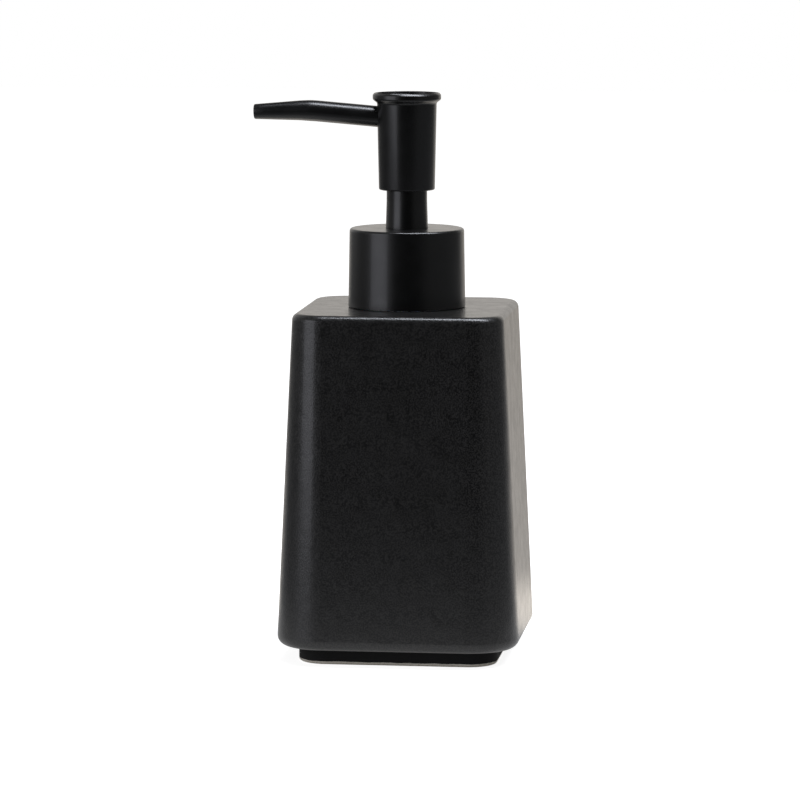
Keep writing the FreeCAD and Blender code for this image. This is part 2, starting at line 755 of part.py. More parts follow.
def make_head_shell():
    """The pressed button: a drafted cylinder under a rolled rim with a dished top."""
    body, sketch = turned(
        "head_shell",
        [
            (HEAD_BORE, HEAD_BOTTOM),
            (HEAD_RADIUS, HEAD_BOTTOM),
            (HEAD_SHOULDER, RIM_BOTTOM),
            (RIM_RADIUS, RIM_BOTTOM),
            (RIM_RADIUS, HEAD_TOP),
            ("0", HEAD_TOP),
            ("0", HEAD_CEILING),
            (HEAD_BORE, HEAD_CEILING),
        ],
    )
    dish = new_sketch(body, "XZ_Plane", "dish_section")
    edge, deep = f"{RIM_RADIUS} - dish_inset", f"{HEAD_TOP} - dish_depth"
    across, top, sag = worth(edge), worth(HEAD_TOP), size("dish_depth")
    curve = (across**2 + sag**2) / (2 * sag)
    bowl = Part.Circle(V(0, top - sag + curve, 0), V(0, 0, 1), curve)
    arc = dish.addGeometry(Part.ArcOfCircle(bowl, -TURN / 4, math.asin(across / curve) - TURN / 4), False)
    lid = dish.addGeometry(Part.LineSegment(V(across, top, 0), V(0, top, 0)), False)
    axis = dish.addGeometry(Part.LineSegment(V(0, top, 0), V(0, top - sag, 0)), False)
    for one, end, other, start in ((arc, 2, lid, 1), (lid, 2, axis, 1), (axis, 2, arc, 1)):
        dish.addConstraint(Sketcher.Constraint("Coincident", one, end, other, start))
    pin_point(dish, lid, 1, edge, HEAD_TOP)
    pin_point(dish, lid, 2, "0", HEAD_TOP)
    pin_point(dish, axis, 2, "0", deep)
    dish.addConstraint(Sketcher.Constraint("PointOnObject", arc, 3, -2))
    groove = feature(body, "Groove", "dish", dish)
    groove.ReferenceAxis = (dish, ["V_Axis"])
    groove.Angle = 360
    doc.recompute()
    soften(body, rings_at(body, sketch, [4]), "rim_round", "rim_top_edge")
    soften(body, rings_at(body, sketch, [3]), "rim_round", "rim_under_edge")
    soften(body, rings_at(body, sketch, [2]), "rim_blend", "rim_root")
    soften(body, rings_at(body, sketch, [1]), "head_edge", "skirt_edge")
    nozzle_hole(body, "nozzle_radius + nozzle_hole_gap", "0", f"{RIM_RADIUS} + 1")


def nozzle_hole(body, radius, start, end):
    """Bores along the nozzle's first straight, between two distances from the pump's axis."""
    number = len(body.Group)
    sketch = new_sketch(body, "YZ_Plane", f"nozzle_section_{number}")
    aim_section(sketch, start, f"{NOZZLE_HEIGHT} + ({start}) * tan(nozzle_rise)", "nozzle_rise")
    circle(sketch, "0", "0", radius)
    pad(body, "Pocket", f"nozzle_bore_{number}", sketch, f"{end} - ({start})")


def aim_section(sketch, reach, height, slope):
    """Places a section of the nozzle at a reach along -X and a height, square to a slope in degrees."""
    sketch.AttachmentOffset = FreeCAD.Placement(V(0, 0, 0), FreeCAD.Rotation(V(1, 0, 0), 1.0))
    sketch.setExpression(".AttachmentOffset.Base.y", bound(height))
    sketch.setExpression(".AttachmentOffset.Base.z", bound(f"-({reach})"))
    sketch.setExpression(".AttachmentOffset.Rotation.Angle", bound(slope))


def make_head_core():
    """The plastic block in the head that turns the soap from the shaft into the nozzle."""
    top = f"{HEAD_CEILING} - seat_gap"
    socket, outside = "shaft_radius + seat_gap / 2", f"{HEAD_BORE} - seat_gap"
    body, _ = turned(
        "head_core",
        [
            (socket, f"{top} - core_height"),
            (outside, f"{top} - core_height"),
            (outside, top),
            ("0", top),
            ("0", f"{NOZZLE_HEIGHT} + core_channel"),
            ("core_channel", f"{NOZZLE_HEIGHT} + core_channel"),
            ("core_channel", f"{SHAFT_TOP} + seat_gap"),
            (socket, f"{SHAFT_TOP} + seat_gap"),
        ],
    )
    nozzle_hole(body, "core_channel", "0", "nozzle_root + 1")
    nozzle_hole(body, "nozzle_radius + seat_gap", "nozzle_root - seat_gap", f"{HEAD_BORE} + 1")


def make_nozzle():
    """The bent, tapering spout."""
    body = new_body("nozzle")
    rise, fall = "tan(nozzle_rise)", "tan(nozzle_fall)"
    start = f"{NOZZLE_HEIGHT} + (nozzle_bend - 3) * {rise}"
    crest = f"{start} + 2 * {rise}"
    past = f"{crest} - 0.04"
    stations = [
        # reach, height, slope, share of the taper
        ("nozzle_root", f"{NOZZLE_HEIGHT} + nozzle_root * {rise}", "nozzle_rise", "0"),
        ("nozzle_bend - 3", start, "nozzle_rise", "0"),
        ("nozzle_bend - 1", f"{crest} - 0.04", "nozzle_rise * 0.67 - nozzle_fall * 0.33", "0.03"),
        ("nozzle_bend + 1", f"{crest} + 0.01", "nozzle_rise * 0.33 - nozzle_fall * 0.67", "0.08"),
        ("nozzle_bend + 3", past, "-nozzle_fall", "0.16"),
        ("nozzle_reach", f"{past} - (nozzle_reach - nozzle_bend - 3) * {fall}", "-nozzle_fall", "1"),
    ]
    for kind, name, root, tip in (
        ("AdditiveLoft", "skin", "nozzle_radius", "nozzle_tip_radius"),
        ("SubtractiveLoft", "bore", "nozzle_bore", "nozzle_tip_bore"),
    ):
        sections = []
        for number, (reach, height, slope, share) in enumerate(stations):
            sketch = new_sketch(body, "YZ_Plane", f"{name}_{number}")
            aim_section(sketch, reach, height, slope)
            circle(sketch, "0", "0", f"{root} + ({tip} - {root}) * {share}")
            sections.append(sketch)
        made = feature(body, kind, name, sections[0])
        made.Sections = sections[1:]
        made.Ruled = True
        doc.recompute()
    reach = size("nozzle_reach")
    lip = [
        f"Edge{i}"
        for i, edge in enumerate(body.Tip.Shape.Edges, start=1)
        if edge.BoundBox.XMax < 1 - reach and edge.BoundBox.ZLength > 1.9 * size("nozzle_tip_radius")
    ]
    soften(body, lip, "nozzle_lip", "lip")


for make in (
    make_bottle,
    make_neck_insert,
    make_neck_gasket,
    make_housing,
    make_dip_tube,
    make_inlet_ball,
    make_ball_cage,
    make_chaplet,
    make_neck_sleeve,
    make_collar_shell,
    make_collar_cap,
    make_shaft,
    make_piston_seal,
    make_valve_pin,
    make_return_spring,
    make_head_shell,
    make_head_core,
    make_nozzle,
):
    make()

doc.recompute()
pieces = [o for o in doc.Objects if o.isDerivedFrom("PartDesign::Body") or o.Name == "inlet_ball"]
for thing in doc.Objects:
    if {"Invalid", "Error"} & set(thing.State):
        raise SystemExit(f"{thing.Name} failed: {thing.State}")
for piece in pieces:
    if piece.Shape.isNull() or not piece.Shape.isValid() or not piece.Shape.Solids:
        raise SystemExit(f"{piece.Label} has no valid solid")

os.makedirs("parts", exist_ok=True)
for piece in pieces:
    piece.Shape.exportStep(f"parts/{piece.Label}.step")
    print(f"{piece.Label}: {len(piece.Shape.Solids)} solid, {piece.Shape.Volume:.1f} mm3")
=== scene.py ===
import math

import bmesh
import bpy
from mathutils import Matrix, Vector


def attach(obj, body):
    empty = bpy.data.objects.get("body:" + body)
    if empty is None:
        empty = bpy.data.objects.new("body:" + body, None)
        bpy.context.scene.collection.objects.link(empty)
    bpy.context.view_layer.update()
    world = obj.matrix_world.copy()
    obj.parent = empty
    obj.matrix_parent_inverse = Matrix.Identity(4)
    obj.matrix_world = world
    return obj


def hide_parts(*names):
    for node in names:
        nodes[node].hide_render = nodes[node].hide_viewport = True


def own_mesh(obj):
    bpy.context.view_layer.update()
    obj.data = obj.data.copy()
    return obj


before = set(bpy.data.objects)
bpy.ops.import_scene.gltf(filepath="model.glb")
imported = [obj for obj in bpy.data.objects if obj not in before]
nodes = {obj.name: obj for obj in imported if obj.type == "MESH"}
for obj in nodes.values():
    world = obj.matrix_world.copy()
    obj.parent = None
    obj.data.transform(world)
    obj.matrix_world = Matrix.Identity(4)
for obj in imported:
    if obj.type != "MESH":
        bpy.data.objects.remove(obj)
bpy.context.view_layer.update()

mm = 0.001
scene = bpy.context.scene


def hexToLinear(code):
    channels = [int(code[i:i + 2], 16) / 255 for i in (1, 3, 5)]
    return [c / 12.92 if c <= 0.04045 else ((c + 0.055) / 1.055) ** 2.4 for c in channels] + [1.0]


def addNode(tree, kind, sockets=None, **settings):
    # sockets: an input's name or number, with its value or the output that feeds it
    node = tree.nodes.new(kind)
    for name, value in settings.items():
        setattr(node, name, value)
    for name, value in (sockets or {}).items():
        if isinstance(value, bpy.types.NodeSocket):
            tree.links.new(value, node.inputs[name])
        else:
            node.inputs[name].default_value = value
    return node


def newMaterial(name):
    made = bpy.data.materials.new(name)
    made.use_nodes = True
    tree = made.node_tree
    tree.nodes.clear()
    return made, tree


def paint(material, *names):
    for name in names:
        mesh = nodes[name].data
        mesh.materials.clear()
        mesh.materials.append(material)


smooth = {"interpolation_type": "SMOOTHSTEP"}
low, high = 0.3, 0.7  # most of a noise lies between these

glaze = {
    "colour": "#020202",
    "thinColour": "#1f1e1d",  # where the melt drew thin over a dimple's edge
    # painted shade: the step below the heel takes this darker colour, without the lighter specks
    "footShadeColour": "#020202",
    "bareClay": "#ebe5d8",
    "clayFleck": "#c9bfae",
    "fleckSize": 0.4 * mm,
    "roughness": (0.33, 0.40),
    "mottleSize": 5 * mm,
    "skin": 0.36,  # the smooth melted skin over the matt body of the glaze
    "skinRoughness": 0.16,
    # dimples of a matt glaze that settled as it melted, about twice as coarse as real ones, to show
    "peelSize": 0.4 * mm,
    "peelEdge": (0.36, 0.64),
    "peelDepth": 0.05 * mm,
    "waveSize": 7.0 * mm,  # slow unevenness of a dipped coat
    "waveDepth": 0.21 * mm,
    "footTop": 5.0 * mm,  # the step below the heel is left drier, and its colour is painted darker as shade under the heel
    "footFade": 0.3 * mm,
    "footRoughness": 0.95,
    "bareHeight": 0.95 * mm,  # wiped off the foot before firing
    "bareWander": 0.6 * mm,
    "bareRoughness": 0.9,
}


def makeGlaze():
    # matt black stoneware glaze: soft wide highlights, a fine dimple, and pale clay where the foot was wiped
    made, tree = newMaterial("matt black stoneware glaze")
    where = addNode(tree, "ShaderNodeTexCoord").outputs["Object"]
    peel = addNode(
        tree, "ShaderNodeTexNoise", {"Vector": where, "Scale": 1 / glaze["peelSize"], "Detail": 0.0}
    ).outputs["Fac"]
    wave = addNode(
        tree, "ShaderNodeTexNoise",
        {"Vector": where, "Scale": 1 / glaze["waveSize"], "Detail": 2.0, "Roughness": 0.45},
    ).outputs["Fac"]
    mottle = addNode(
        tree, "ShaderNodeTexNoise",
        {"Vector": where, "Scale": 1 / glaze["mottleSize"], "Detail": 4.0, "Roughness": 0.6},
    ).outputs["Fac"]
    fleck = addNode(
        tree, "ShaderNodeTexNoise",
        {"Vector": where, "Scale": 1 / glaze["fleckSize"], "Detail": 3.0, "Roughness": 0.6},
    ).outputs["Fac"]
    height = addNode(tree, "ShaderNodeSeparateXYZ", {"Vector": where}).outputs["Z"]

    # masks: bare clay at the very bottom, and the step of the foot, left drier and painted darker as shade
    # under the heel
    edge = addNode(
        tree, "ShaderNodeMath",
        {0: mottle, 1: glaze["bareWander"], 2: glaze["bareHeight"] - glaze["bareWander"] / 2},
        operation="MULTIPLY_ADD",
    ).outputs[0]
    bare = addNode(tree, "ShaderNodeMath", {0: height, 1: edge}, operation="LESS_THAN").outputs[0]
    foot = addNode(
        tree, "ShaderNodeMapRange",
        {
            "Value": height, "From Min": glaze["footTop"] - glaze["footFade"], "From Max": glaze["footTop"],
            "To Min": 1.0, "To Max": 0.0,
        },
        **smooth,
    ).outputs[0]

    thin = addNode(
        tree, "ShaderNodeMapRange",
        {"Value": peel, "From Min": glaze["peelEdge"][0], "From Max": glaze["peelEdge"][1]},
        **smooth,
    ).outputs[0]
    coat = addNode(
        tree, "ShaderNodeMix",
        {"Factor": thin, 6: hexToLinear(glaze["colour"]), 7: hexToLinear(glaze["thinColour"])},
        data_type="RGBA",
    ).outputs[2]
    # painted shade under the heel: the foot's colour replaces the speckled glaze
    shaded = addNode(
        tree, "ShaderNodeMix",
        {"Factor": foot, 6: coat, 7: hexToLinear(glaze["footShadeColour"])},
        data_type="RGBA",
    ).outputs[2]
    speckled = addNode(
        tree, "ShaderNodeMapRange", {"Value": fleck, "From Min": 0.5, "From Max": high}, **smooth
    ).outputs[0]
    clay = addNode(
        tree, "ShaderNodeMix",
        {"Factor": speckled, 6: hexToLinear(glaze["bareClay"]), 7: hexToLinear(glaze["clayFleck"])},
        data_type="RGBA",
    ).outputs[2]
    colour = addNode(tree, "ShaderNodeMix", {"Factor": bare, 6: shaded, 7: clay}, data_type="RGBA").outputs[2]

    glossy, matt = glaze["roughness"]
    melted = addNode(
        tree, "ShaderNodeMapRange",
        {"Value": mottle, "From Min": low, "From Max": high, "To Min": glossy, "To Max": matt},
        **smooth,
    ).outputs[0]
    drier = addNode(
        tree, "ShaderNodeMix", {"Factor": foot, 2: melted, 3: glaze["footRoughness"]}, data_type="FLOAT"
    ).outputs[0]
    rough = addNode(
        tree, "ShaderNodeMix", {"Factor": bare, 2: drier, 3: glaze["bareRoughness"]}, data_type="FLOAT"
    ).outputs[0]
    skin = addNode(
        tree, "ShaderNodeMath", {0: foot, 1: -glaze["skin"], 2: glaze["skin"]}, operation="MULTIPLY_ADD"
    ).outputs[0]
    dimples = addNode(
        tree, "ShaderNodeBump", {"Height": peel, "Strength": 1.0, "Distance": glaze["peelDepth"]}
    ).outputs[0]
    swell = addNode(
        tree, "ShaderNodeBump",
        {"Height": wave, "Normal": dimples, "Strength": 1.0, "Distance": glaze["waveDepth"]},
    ).outputs[0]
    shader = addNode(tree, "ShaderNodeBsdfPrincipled", {
        "Base Color": colour, "Roughness": rough, "Normal": swell, "IOR": 1.52,
        "Coat Weight": skin, "Coat Roughness": glaze["skinRoughness"], "Coat IOR": 1.5,
    }).outputs[0]
    addNode(tree, "ShaderNodeOutputMaterial", {"Surface": shader})
    return made


enamel = {
    "colour": "#030303",
    "roughness": (0.31, 0.36),
    "cloudSize": 6 * mm,
    "grain": 0.25 * mm,  # droplets of a sprayed and baked coat that ran together
    "grainDepth": 0.002 * mm,
    "coat": 0.3,
    "coatRoughness": 0.15,
}


def makeEnamel():
    # satin black baked enamel on pressed steel: nearly no colour of its own, a soft highlight down each side
    made, tree = newMaterial("satin black baked enamel")
    where = addNode(tree, "ShaderNodeTexCoord").outputs["Object"]
    grain = addNode(
        tree, "ShaderNodeTexNoise",
        {"Vector": where, "Scale": 1 / enamel["grain"], "Detail": 3.0, "Roughness": 0.5},
    ).outputs["Fac"]
    cloud = addNode(
        tree, "ShaderNodeTexNoise",
        {"Vector": where, "Scale": 1 / enamel["cloudSize"], "Detail": 3.0, "Roughness": 0.5},
    ).outputs["Fac"]
    glossy, matt = enamel["roughness"]
    rough = addNode(
        tree, "ShaderNodeMapRange",
        {"Value": cloud, "From Min": low, "From Max": high, "To Min": glossy, "To Max": matt},
        **smooth,
    ).outputs[0]
    bump = addNode(
        tree, "ShaderNodeBump", {"Height": grain, "Strength": 1.0, "Distance": enamel["grainDepth"]}
    ).outputs[0]
    shader = addNode(tree, "ShaderNodeBsdfPrincipled", {
        "Base Color": hexToLinear(enamel["colour"]), "Roughness": rough, "Normal": bump, "IOR": 1.5,
        "Coat Weight": enamel["coat"], "Coat Roughness": enamel["coatRoughness"], "Coat IOR": 1.5,
    }).outputs[0]
    addNode(tree, "ShaderNodeOutputMaterial", {"Surface": shader})
    return made


plastics = {
    # name: colour, roughness, subsurface, surface grain (drawn coarser than a mould's, to show)
    "black moulded polypropylene": ("#101011", 0.42, 0.0, 0.3 * mm),
    "natural polypropylene": ("#e4e3dc", 0.38, 0.35, 0.5 * mm),
    "natural polyethylene": ("#e9ebe6", 0.45, 0.45, 0.6 * mm),
    "grey silicone rubber": ("#b9b8b2", 0.6, 0.2, 0.4 * mm),
}
moulding = {
    "flowSize": 9 * mm,  # faint marks of how the melt ran
    "flowGloss": 0.05,  # how far they move the roughness each way
    "skinDepth": 0.004 * mm,
    "scatter": 2 * mm,
}


def makePlastic(name):
    # injection moulded: even colour, faint flow marks and the fine skin of the mould
    colour, roughness, depth, grain = plastics[name]
    made, tree = newMaterial(name)
    where = addNode(tree, "ShaderNodeTexCoord").outputs["Object"]
    skin = addNode(
        tree, "ShaderNodeTexNoise", {"Vector": where, "Scale": 1 / grain, "Detail": 2.0}
    ).outputs["Fac"]
    flow = addNode(
        tree, "ShaderNodeTexNoise",
        {"Vector": where, "Scale": 1 / moulding["flowSize"], "Detail": 2.0, "Distortion": 0.6},
    ).outputs["Fac"]
    rough = addNode(
        tree, "ShaderNodeMapRange",
        {
            "Value": flow, "From Min": low, "From Max": high,
            "To Min": roughness - moulding["flowGloss"], "To Max": roughness + moulding["flowGloss"],
        },
        **smooth,
    ).outputs[0]
    bump = addNode(
        tree, "ShaderNodeBump", {"Height": skin, "Strength": 0.6, "Distance": moulding["skinDepth"]}
    ).outputs[0]
    shader = addNode(tree, "ShaderNodeBsdfPrincipled", {
        "Base Color": hexToLinear(colour), "Roughness": rough, "Normal": bump, "IOR": 1.49,
        "Subsurface Weight": depth, "Subsurface Scale": moulding["scatter"],
    }).outputs[0]
    addNode(tree, "ShaderNodeOutputMaterial", {"Surface": shader})
    return made


drawnWire = {
    "colour": "#b9bbbd",
    "patchSize": 0.2 * mm,  # uneven polish left by the die, coarser than real, to show
    "roughness": (0.22, 0.36),
}


def makeSpringSteel():
    # hard drawn stainless wire: bright, with a slightly uneven polish
    made, tree = newMaterial("drawn stainless spring wire")
    where = addNode(tree, "ShaderNodeTexCoord").outputs["Object"]
    polish = addNode(
        tree, "ShaderNodeTexNoise", {"Vector": where, "Scale": 1 / drawnWire["patchSize"], "Detail": 2.0}
    ).outputs["Fac"]
    glossy, matt = drawnWire["roughness"]
    rough = addNode(
        tree, "ShaderNodeMapRange",
        {"Value": polish, "From Min": low, "From Max": high, "To Min": glossy, "To Max": matt},
        **smooth,
    ).outputs[0]
    shader = addNode(tree, "ShaderNodeBsdfPrincipled", {
        "Base Color": hexToLinear(drawnWire["colour"]), "Roughness": rough, "Metallic": 1.0,
    }).outputs[0]
    addNode(tree, "ShaderNodeOutputMaterial", {"Surface": shader})
    return made


ballGlass = {
    "colour": "#dfe9e4",
    "hazeSize": 1.5 * mm,
    "roughness": (0.02, 0.06),
    "clear": 0.9,
}


def makeGlass():
    # a ground and polished glass ball
    made, tree = newMaterial("polished soda glass")
    where = addNode(tree, "ShaderNodeTexCoord").outputs["Object"]
    haze = addNode(
        tree, "ShaderNodeTexNoise", {"Vector": where, "Scale": 1 / ballGlass["hazeSize"], "Detail": 1.0}
    ).outputs["Fac"]
    glossy, matt = ballGlass["roughness"]
    rough = addNode(
        tree, "ShaderNodeMapRange",
        {"Value": haze, "From Min": low, "From Max": high, "To Min": glossy, "To Max": matt},
        **smooth,
    ).outputs[0]
    shader = addNode(tree, "ShaderNodeBsdfPrincipled", {
        "Base Color": hexToLinear(ballGlass["colour"]), "Roughness": rough, "IOR": 1.52,
        "Transmission Weight": ballGlass["clear"],
    }).outputs[0]
    addNode(tree, "ShaderNodeOutputMaterial", {"Surface": shader})
    return made


spout = {
    "root": 4.2 * mm,  # where it stands in the core, out from the pump's axis
    "axisHeight": 155.13 * mm,  # where its line would cross that axis
    "rise": 4.8,  # degrees
    "fall": 1.9,
    "bendStart": 25.3 * mm,
    "bendLength": 7.0 * mm,
    "bendSteps": 14,
    "bendTaper": 0.6,  # the share of the bend that narrows already
    "tipSteps": 4,
    "reach": 44.6 * mm,
    "radius": 3.05 * mm,
    "tipRadius": 2.17 * mm,
    "bore": 1.7 * mm,
    "tipBore": 1.35 * mm,
    "lip": 0.35 * mm,
    "innerLip": 0.175 * mm,
    "sides": 72,
}


def newPiece(shape, name, material, body, slot, *replaced, sharp):
    # a finished bmesh becomes a piece that rides on a body and stands for CAD nodes; sharp is in degrees
    bmesh.ops.remove_doubles(shape, verts=shape.verts, dist=0.0005 * mm)
    bmesh.ops.recalc_face_normals(shape, faces=shape.faces)
    for face in shape.faces:
        face.smooth = True
    for edge in shape.edges:
        edge.smooth = edge.is_manifold and edge.calc_face_angle(0) < math.radians(sharp)
    mesh = bpy.data.meshes.new(name)
    shape.to_mesh(mesh)
    shape.free()
    piece = bpy.data.objects.new(name, mesh)
    scene.collection.objects.link(piece)
    mesh.materials.append(material)
    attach(piece, body)
    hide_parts(*replaced)
    return piece


def roundEdges(shape, edges, width, segments=4):
    bmesh.ops.bevel(
        shape, geom=edges, offset=width, offset_type="OFFSET", segments=segments,
        profile=0.5, affect="EDGES", material=-1, clamp_overlap=True,
    )


def sweepSkin(shape, rootRadius, tipRadius):
    # one skin of the spout: a ring pushed up the rise, round the bend and down to the tip
    slope = math.radians(spout["rise"])
    ring = bmesh.ops.create_circle(shape, segments=spout["sides"], radius=rootRadius)["verts"]
    centre = Vector((-spout["root"], 0, spout["axisHeight"] + spout["root"] * math.tan(slope)))
    upright = Matrix.Rotation(math.radians(90) + slope, 3, "Y")
    bmesh.ops.rotate(shape, verts=ring, cent=(0, 0, 0), matrix=upright)
    bmesh.ops.translate(shape, verts=ring, vec=centre)
    first = [edge for edge in shape.edges if edge.verts[0] in ring and edge.verts[1] in ring]
    edges = first

    bend, tip = spout["bendSteps"], spout["tipSteps"]
    turn = -math.radians(spout["rise"] + spout["fall"]) / bend
    rising = (spout["bendStart"] - spout["root"]) / math.cos(slope)
    falling = spout["reach"] - spout["bendStart"] - spout["bendLength"]
    falling /= math.cos(math.radians(spout["fall"]))
    whole = rising + spout["bendLength"] + falling
    taper = spout["bendLength"] * spout["bendTaper"] + falling
    steps = [(rising, 0.0)] + [(spout["bendLength"] / bend, turn)] * bend + [(falling / tip, 0.0)] * tip
    radius, done = rootRadius, 0.0
    for length, angle in steps:
        made = bmesh.ops.extrude_edge_only(shape, edges=edges)["geom"]
        ring = [part for part in made if isinstance(part, bmesh.types.BMVert)]
        edges = [
            part for part in made
            if isinstance(part, bmesh.types.BMEdge) and part.verts[0] in ring and part.verts[1] in ring
        ]
        slope += angle / 2
        step = Vector((-math.cos(slope), 0, math.sin(slope))) * length
        slope += angle / 2
        centre = centre + step
        bmesh.ops.translate(shape, verts=ring, vec=step)
        bmesh.ops.rotate(shape, verts=ring, cent=centre, matrix=Matrix.Rotation(angle, 3, "Y"))
        done += length
        wanted = rootRadius + (tipRadius - rootRadius) * max(0.0, 1 - (whole - done) / taper)
        bmesh.ops.scale(shape, verts=ring, vec=[wanted / radius] * 3, space=Matrix.Translation(-centre))
        radius = wanted
    return first, edges


def makeSpout():
    # a bent tube that narrows to a rounded lip; its root is hidden in the head's core
    shape = bmesh.new()
    rootOuter, tipOuter = sweepSkin(shape, spout["radius"], spout["tipRadius"])
    rootInner, tipInner = sweepSkin(shape, spout["bore"], spout["tipBore"])
    bmesh.ops.bridge_loops(shape, edges=rootOuter + rootInner)
    bmesh.ops.bridge_loops(shape, edges=tipOuter + tipInner)
    roundEdges(shape, tipOuter, spout["lip"])
    roundEdges(shape, [edge for edge in tipInner if edge.is_valid], spout["innerLip"])
    bmesh.ops.recalc_face_normals(shape, faces=shape.faces)
    return newPiece(shape, "bentSpout", blackEnamel, "plunger", "black_coated_shell", "nozzle", sharp=50)


button = {
    # radius and height of each corner of the turned outline, with how far it is rounded
    "outline": (
        (0.0, 161.4, 0.0), (6.5, 161.45, 1.5), (8.8, 161.65, 0.4), (9.08, 162.72, 0.1), (9.4, 162.75, 0.08),
        (9.88, 162.22, 0.12), (9.9, 160.95, 0.3), (9.45, 160.5, 0.2), (8.62, 159.95, 0.45),
        (8.1, 134.75, 0.45), (7.35, 134.75, 0.15), (7.35, 160.9, 0.0), (0.0, 160.9, 0.0),
    ),
    "steps": 160,
    "roundSteps": 5,
    "holeRadius": 3.27 * mm,
    "holeSides": 64,
    "holeFrom": 5.0 * mm,
    "holeTo": 11.0 * mm,
}


def cutAway(shape, drill):
    # the shape without the drill's body
    holders = []
    for name, source in (("blank", shape), ("drill", drill)):
        mesh = bpy.data.meshes.new(name)
        source.to_mesh(mesh)
        source.free()
        holders.append(bpy.data.objects.new(name, mesh))
        scene.collection.objects.link(holders[-1])
    blank, cutter = holders
    cut = blank.modifiers.new("hole", "BOOLEAN")
    cut.object, cut.operation, cut.solver = cutter, "DIFFERENCE", "EXACT"
    bpy.context.view_layer.update()
    mesh = bpy.data.meshes.new_from_object(blank.evaluated_get(bpy.context.evaluated_depsgraph_get()))
    result = bmesh.new()
    result.from_mesh(mesh)
    for holder in holders:
        bpy.data.objects.remove(holder)
    bmesh.ops.remove_doubles(result, verts=result.verts, dist=0.001 * mm)
    bmesh.ops.dissolve_degenerate(result, edges=result.edges, dist=0.001 * mm)
    bmesh.ops.triangulate(result, faces=[face for face in result.faces if len(face.verts) > 4])
    return result


def makeButton():
    # the pressed head: a drafted cup under a rolled rim, dished on top, with the spout's hole in its side
    shape = bmesh.new()
    corners = [shape.verts.new((radius * mm, 0, height * mm)) for radius, height, _ in button["outline"]]
    for one, other in zip(corners, corners[1:]):
        shape.edges.new((one, other))
    # half a step round, so that no edge of the wall runs through the drill's own corners
    halfStep = Matrix.Rotation(math.pi / button["steps"], 3, "Z")
    bmesh.ops.rotate(shape, verts=corners, cent=(0, 0, 0), matrix=halfStep)
    bmesh.ops.spin(
        shape, geom=shape.verts[:] + shape.edges[:], cent=(0, 0, 0), axis=(0, 0, 1),
        angle=math.tau, steps=button["steps"], use_merge=True,
    )
    bmesh.ops.remove_doubles(shape, verts=shape.verts, dist=0.001 * mm)
    bmesh.ops.recalc_face_normals(shape, faces=shape.faces)
    near = 0.01 * mm
    for radius, height, width in button["outline"]:
        if width:
            level = [vert for vert in shape.verts if abs(vert.co.z - height * mm) < near]
            ring = [vert for vert in level if abs(vert.co.xy.length - radius * mm) < near]
            edges = [edge for edge in shape.edges if edge.verts[0] in ring and edge.verts[1] in ring]
            roundEdges(shape, edges, width * mm, button["roundSteps"])

    drill = bmesh.new()
    bmesh.ops.create_cone(
        drill, cap_ends=True, segments=button["holeSides"], radius1=button["holeRadius"],
        radius2=button["holeRadius"], depth=button["holeTo"] - button["holeFrom"],
    )
    slope = math.radians(spout["rise"])
    middle = (button["holeFrom"] + button["holeTo"]) / 2
    height = spout["axisHeight"] + middle * math.tan(slope)
    upright = Matrix.Rotation(math.radians(90) + slope, 3, "Y")
    bmesh.ops.rotate(drill, verts=drill.verts, cent=(0, 0, 0), matrix=upright)
    bmesh.ops.translate(drill, verts=drill.verts, vec=(-middle, 0, height))
    shape = cutAway(shape, drill)
    return newPiece(
        shape, "pressedHead", blackEnamel, "plunger", "black_coated_shell", "head_shell", sharp=50
    )


coil = {
    "wire": 0.45 * mm,
    "radius": 5.6 * mm,
    "low": 84.47 * mm,  # middle of the wire where it rests on the cage
    "high": 102.53 * mm,
    "floor": 84.0 * mm,  # the cage's top
    "endTurns": 1.0,  # closed turns at each end
    "turns": 5.5,
    "endRise": 0.93 * mm,
    "travel": 10.8 * mm,  # how far a full press shortens it
    "stepsPerTurn": 48,
    "sides": 14,
}


def makeCoil():
    # the return spring, wound open between two closed ends
    shape = bmesh.new()
    ring = bmesh.ops.create_circle(shape, segments=coil["sides"], radius=coil["wire"])["verts"]
    bmesh.ops.rotate(shape, verts=ring, cent=(0, 0, 0), matrix=Matrix.Rotation(math.radians(90), 3, "X"))
    bmesh.ops.translate(shape, verts=ring, vec=(coil["radius"], 0, coil["low"]))
    start = shape.edges[:]
    geom = shape.verts[:] + shape.edges[:]
    climb = coil["high"] - coil["low"] - 2 * coil["endRise"]
    closed = (coil["endTurns"], coil["endRise"])
    for turns, rise in (closed, (coil["turns"], climb), closed):
        steps = round(turns * coil["stepsPerTurn"])
        made = bmesh.ops.spin(
            shape, geom=geom, cent=(0, 0, 0), axis=(0, 0, 1), dvec=(0, 0, rise / steps),
            angle=math.tau * turns, steps=steps, use_merge=False,
        )
        geom = made["geom_last"]
    bmesh.ops.contextual_create(shape, geom=start)
    end = [part for part in geom if isinstance(part, bmesh.types.BMEdge)]
    bmesh.ops.contextual_create(shape, geom=end)
    piece = newPiece(shape, "returnCoil", springSteel, "pump_core", "spring_steel", "return_spring", sharp=60)
    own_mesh(piece)
    return piece


blackGlaze = makeGlaze()
blackEnamel = makeEnamel()
blackPlastic, whitePlastic, tubePlastic, sealRubber = [makePlastic(name) for name in plastics]
springSteel = makeSpringSteel()
glass = makeGlass()
paint(blackGlaze, "bottle")
paint(blackEnamel, "collar_shell", "neck_sleeve")
paint(blackPlastic, "collar_cap", "head_core")
paint(whitePlastic, "neck_insert", "housing", "ball_cage", "chaplet", "shaft", "valve_pin")
paint(tubePlastic, "dip_tube", "piston_seal")
paint(sealRubber, "neck_gasket")
paint(glass, "inlet_ball")
print("materials made")
makeSpout()
makeButton()
makeCoil()
print("spout, head and spring made")


